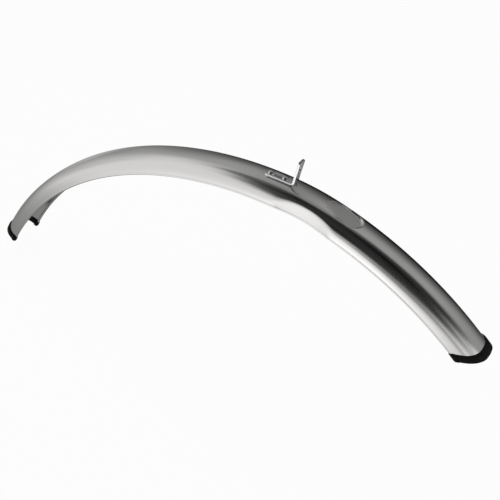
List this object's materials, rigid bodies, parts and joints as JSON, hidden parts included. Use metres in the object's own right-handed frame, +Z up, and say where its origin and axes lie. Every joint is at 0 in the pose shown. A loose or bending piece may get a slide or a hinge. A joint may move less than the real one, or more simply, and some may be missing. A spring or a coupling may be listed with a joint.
{
  "type": "bicycle mudguard",
  "caption": "Front bicycle mudguard: a curved polished steel channel with rolled rims, a bent strip bracket riveted on its crown for the fork bolt, and a rubber trim on each end.",
  "frame": {"origin": "centre of the bolt hole in the bracket's upright leg", "axes": "+X forward along the fork bolt, +Z up along the leg, +Y to the rider's left"},
  "size_m": [0.5327, 0.0422, 0.2805],
  "materials": {
    "polished_steel": "mirror-polished stainless sheet",
    "bracket_steel": "bright, fine rolled grain",
    "rivet_steel": "bright",
    "trim_rubber": "semi-gloss black"
  },
  "bodies": {
    "root": {"guard_blade": "polished_steel", "fork_bracket": "bracket_steel", "bracket_rivets": "rivet_steel", "front_end_trim": "trim_rubber", "rear_end_trim": "trim_rubber"}
  },
  "joints": []
}
